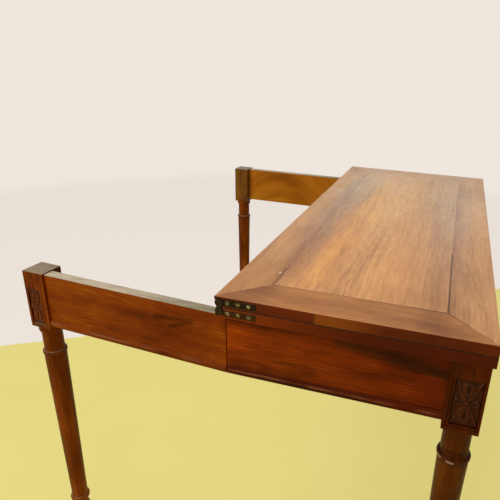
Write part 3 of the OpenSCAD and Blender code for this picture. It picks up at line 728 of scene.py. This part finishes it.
def dress_metal():
    upper = metal("upper_bronze", (0.010, 0.005, 0.002), (0.048, 0.029, 0.010), 0.50)
    lower = metal("lower_bronze", (0.030, 0.009, 0.002), (0.100, 0.040, 0.010), 0.50)
    link = metal("link_bronze", (0.020, 0.012, 0.006), (0.060, 0.040, 0.020), 0.55)
    iron = metal("hinge_iron", (0.035, 0.030, 0.027), (0.16, 0.14, 0.12), 0.5)
    steel = metal("screw_steel", (0.12, 0.095, 0.060), (0.40, 0.34, 0.16), 0.36,
                  other=(0.66, 0.60, 0.50))
    dress(["left_upper_plate", "right_upper_plate"], upper)
    dress(["left_lower_plate", "right_lower_plate"], lower)
    dress(["left_link", "right_link", "link_pins"], link)
    dress(["left_arm_hinge", "right_arm_hinge", "left_frame_hinge", "right_frame_hinge"], iron)
    dress([n for n in nodes if "screws" in n or n.endswith("hinge_pin")], steel)


# Carved quatrefoils in the recesses of the leg blocks

# Petals above and below the middle, and beside it. Lengths are shares of the half field, and an
# eye has its place along the petal, half its length and half its width.
UPRIGHT_PETAL = {"inner": 0.20, "outer": 0.84, "half_wide": 0.54, "eye": (0.57, 0.155, 0.085)}
LEVEL_PETAL = {"inner": 0.24, "outer": 0.92, "half_wide": 0.17, "eye": (0.57, 0.15, 0.032)}

# Millimetres in a metre
MM = 1000.0
# Grid of a relief: cells across it for each millimetre of half its width, and likewise upwards
GRID_CELLS = 3.4
# How far a relief reaches into the floor of its recess
RELIEF_ROOT = 0.0003


def rising(value):
    """Goes smoothly from 0 to 1 as value does."""
    held = min(max(value, 0.0), 1.0)
    return held * held * (3.0 - 2.0 * held)


def corner_leaf(a, b):
    """Height of a leaf with a sharp midrib, from the middle of the field to its corner."""
    half_wide, fullness, edge_h, rib_h, roundness = 0.30, 0.8, 0.5, 2.2, 0.7
    out, gap = max(a, b), abs(a - b)
    swell = math.sin(math.pi * min(out, 1.0) ** fullness)
    half = half_wide * max(0.0, swell) ** roundness
    if gap >= half:
        return 0.0
    return edge_h + rib_h * (1.0 - gap / half) ** roundness


def petal(along, aside, inner, outer, half_wide, eye):
    """Height of a petal that widens outwards, with a raised rim and a drilled eye."""
    widest, rim_h, hollow, lowest = 0.66, 2.8, 1.3, 0.06
    eye_at, eye_long, eye_wide = eye
    share = (along - inner) / (outer - inner)
    if not 0.0 < share < 1.0:
        return 0.0
    if share < widest:
        half = half_wide * (share / widest) ** 0.75
    else:
        half = half_wide * math.sqrt(1.0 - ((share - widest) / (1.0 - widest)) ** 2)
    out = aside / half
    if out >= 1.0:
        return 0.0
    rim = rim_h * math.sqrt(1.0 - out ** 5) - hollow * (1.0 - rising(out * 1.25))
    rim *= rising(4.0 * share)
    hole = math.hypot((along - eye_at) / eye_long, aside / eye_wide)
    return max(lowest, rim * rising(1.7 * (hole - 0.8)))


def carving_height(u, v, half_w, half_h):
    """Height of the relief over the floor of its recess. All lengths are in millimetres."""
    lowest, edge_run, ground_h, ripple_h = 0.05, 0.8, 0.45, 0.18
    button_r, button_h, dome_h, groove, groove_h = 3.8, 1.2, 1.6, 1.3, 0.4
    a, b = abs(u) / half_w, abs(v) / half_h
    best = ground_h + ripple_h * math.sin(u * 2.9) * math.sin(v * 2.3)
    best = max(best, corner_leaf(a, b))
    best = max(petal(b, a, **UPRIGHT_PETAL), petal(a, b, **LEVEL_PETAL)) or best
    button = math.hypot(u, v) / button_r
    if button < groove:
        best = groove_h if button > 1.0 else button_h + dome_h * math.sqrt(1.0 - button ** 2)
    edge = min(half_w - abs(u), half_h - abs(v))
    return max(lowest, best) * min(1.0, edge / edge_run)


def relief_mesh(name, size):
    """A closed relief of that size round the origin, with Z outwards and the height of each
    point, in millimetres, as its attribute relief."""
    half_w, half_h = size[0] * MM / 2.0, size[1] * MM / 2.0
    columns, rows = round(GRID_CELLS * half_w), round(GRID_CELLS * half_h)
    width = columns + 1
    points, faces = [], []
    for row in range(rows + 1):
        for column in range(width):
            u = half_w * (2.0 * column / columns - 1.0)
            v = half_h * (2.0 * row / rows - 1.0)
            height = carving_height(u, v, half_w, half_h)
            points.append((u / MM, v / MM, height / MM))
    for row in range(rows):
        for column in range(columns):
            low = row * width + column
            faces.append((low, low + 1, low + width + 1, low + width))
    rim = list(range(width))
    rim += [r * width + columns for r in range(1, rows + 1)]
    rim += [rows * width + c for c in range(columns - 1, -1, -1)]
    rim += [r * width for r in range(rows - 1, 0, -1)]
    under = len(points)
    points += [(points[i][0], points[i][1], -RELIEF_ROOT) for i in rim]
    for k, i in enumerate(rim):
        after = (k + 1) % len(rim)
        faces.append((i, under + k, under + after, rim[after]))
    faces.append(tuple(reversed(range(under, under + len(rim)))))

    mesh = bpy.data.meshes.new(name)
    mesh.from_pydata(points, [], faces)
    mesh.polygons.foreach_set("use_smooth", [True] * len(faces))
    relief = mesh.attributes.new("relief", "FLOAT", "POINT")
    relief.data.foreach_set("value", [MM * point[2] for point in points])
    return mesh


def carving(name, place, size, body, material):
    """A relief in a recess. place turns its own frame, with X across, Y up and Z outwards and the
    origin at the middle of the recess floor, into the model's frame."""
    mesh = relief_mesh(name, size)
    mesh.transform(place)
    mesh.materials.append(material)
    made = bpy.data.objects.new(name, mesh)
    bpy.context.scene.collection.objects.link(made)
    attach(made, body)


def facing(outward, middle):
    """Frame of a recess that looks along outward, with its middle at that point."""
    out = Vector(outward)
    up = Vector((0.0, 0.0, 1.0))
    turn = Matrix((up.cross(out), up, out)).transposed().to_4x4()
    return Matrix.Translation(middle) @ turn


def carving_wood(name, seed, tint, specular):
    return wood(name, "Z", seed, tinted(TURNED, tint), marks=carving_marks, bump=0.4,
                specular=specular, streak=0.6)


def make_carvings():
    """Two reliefs on each front leg, and one on each rear leg, whose arm they swing with."""
    material = carving_wood("front_carving_wood", 47, (0.25, 0.20, 0.5), 0.12)
    low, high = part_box("left_front_leg")
    middle_z = high.z - FRONT_BLOCK_H + FRONT_BAND + FRONT_RECESS_SIZE[1] / 2
    inset = RECESS_MARGIN + FRONT_RECESS_SIZE[0] / 2
    side_middle = (low.x + RECESS_DEPTH, low.y + inset, middle_z)
    front_middle = (low.x + inset, low.y + RECESS_DEPTH, middle_z)
    places = {"side": facing((-1, 0, 0), side_middle), "front": facing((0, -1, 0), front_middle)}
    mirror = Matrix.Diagonal((-1.0, 1.0, 1.0, 1.0))
    for face, place in places.items():
        carving(f"carving_left_{face}", place, FRONT_RECESS_SIZE, "frame", material)
        carving(f"carving_right_{face}", mirror @ place, FRONT_RECESS_SIZE, "frame", material)

    material = carving_wood("rear_carving_wood", 48, (0.44, 0.33, 0.5), 0.16)
    low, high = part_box("right_rear_leg")
    middle = Vector((
        -high.x + RECESS_DEPTH,
        high.y - RECESS_MARGIN - REAR_RECESS_SIZE[0] / 2,
        high.z - REAR_BLOCK_H + REAR_BAND + REAR_RECESS_SIZE[1] / 2,
    ))
    square = facing((-1, 0, 0), middle)
    axis = Vector(LEFT_SWING["pos_m"])
    turn = Matrix.Rotation(math.radians(LEFT_SWING["range_deg"][0]), 4, "Z")
    swing = Matrix.Translation(axis) @ turn @ Matrix.Translation(-axis)
    carving("carving_left_rear", swing @ square, REAR_RECESS_SIZE, "left_arm", material)
    carving("carving_right_rear", mirror @ square, REAR_RECESS_SIZE, "right_arm", material)


# Light and stage

def seen_directly(g):
    """1 for what the camera or a reflection sees, and 0 for light that is gathered."""
    path = g.node("LightPath").outputs
    seen = g.math("MAXIMUM", path["Is Camera Ray"], path["Is Glossy Ray"])
    return g.math("MAXIMUM", seen, path["Is Transmission Ray"])


def make_floor():
    """A pale yellow mat on a paler floor. The camera sees the floor's own colour mixed in, so that
    it looks even, and the object's shadow stays."""
    mesh = bpy.data.meshes.new("floor")
    reach = 14.0
    corners = [(-reach, -reach, 0), (reach, -reach, 0), (reach, reach, 0), (-reach, reach, 0)]
    mesh.from_pydata(corners, [], [(0, 1, 2, 3)])
    floor = bpy.data.objects.new("floor", mesh)
    bpy.context.scene.collection.objects.link(floor)
    g = Paint("floor_paint")
    place = g.coordinates()
    mat_normal, mat_edge = (0.826, 0.563, 0.0), (0.830, 0.836)
    beyond = g.step(g.dot(place, mat_normal), *mat_edge)
    patches = g.noise(place, 3.0, 3.0)["Fac"]
    mat = g.ramp(patches, [(0.0, (0.79, 0.690, 0.220)), (1.0, (0.83, 0.735, 0.260))])
    paint = g.mix(beyond, mat, BACKDROP)
    g.put(g.shader.inputs["Base Color"], paint)
    g.shader.inputs["Roughness"].default_value = 0.8
    g.shader.inputs["Specular IOR Level"].default_value = 0.1
    glow = g.node("Emission", {"Color": paint})
    near_share = g.step(beyond, 0.0, 1.0, 0.75, 0.88)
    share = g.math("MAXIMUM", near_share, g.step(g.length(place), 1.8, 4.0))
    seen = g.math("MULTIPLY", seen_directly(g), share)
    both = g.node("MixShader", {0: seen, 1: g.shader.outputs[0], 2: glow.outputs[0]})
    g.tree.links.new(both.outputs[0], g.tree.nodes["Material Output"].inputs["Surface"])
    mesh.materials.append(g.material)


def make_world():
    world = bpy.data.worlds.new("studio")
    world.use_nodes = True
    bpy.context.scene.world = world
    g = Graph(world.node_tree)
    background = g.tree.nodes["Background"]
    background.inputs["Color"].default_value = (*BACKDROP, 1.0)
    g.put(background.inputs["Strength"], g.step(seen_directly(g), 0.0, 1.0, WORLD_LIGHT, 1.0))


def add_area(name, place, target, size, power):
    data = bpy.data.lights.new(name, "AREA")
    data.shape = "DISK"
    data.size = size
    data.energy = power
    data.color = (1.0, 0.97, 0.92)
    lamp = bpy.data.objects.new(name, data)
    lamp.location = place
    lamp.rotation_euler = (Vector(target) - Vector(place)).to_track_quat("-Z", "Y").to_euler()
    bpy.context.scene.collection.objects.link(lamp)


def make_lights():
    add_area("ceiling_lamp", (-0.7, 0.5, 3.0), (-0.1, 0.0, 0.7), 1.6, 41.0)
    add_area("room_lamp", (-2.2, 1.5, 1.6), (-0.4, 0.2, 0.6), 1.2, 20.0)


make_camera()
make_floor()
make_world()
make_lights()
dress_top()
dress_frame()
dress_metal()
make_carvings()

bpy.context.scene.view_settings.view_transform = "Standard"
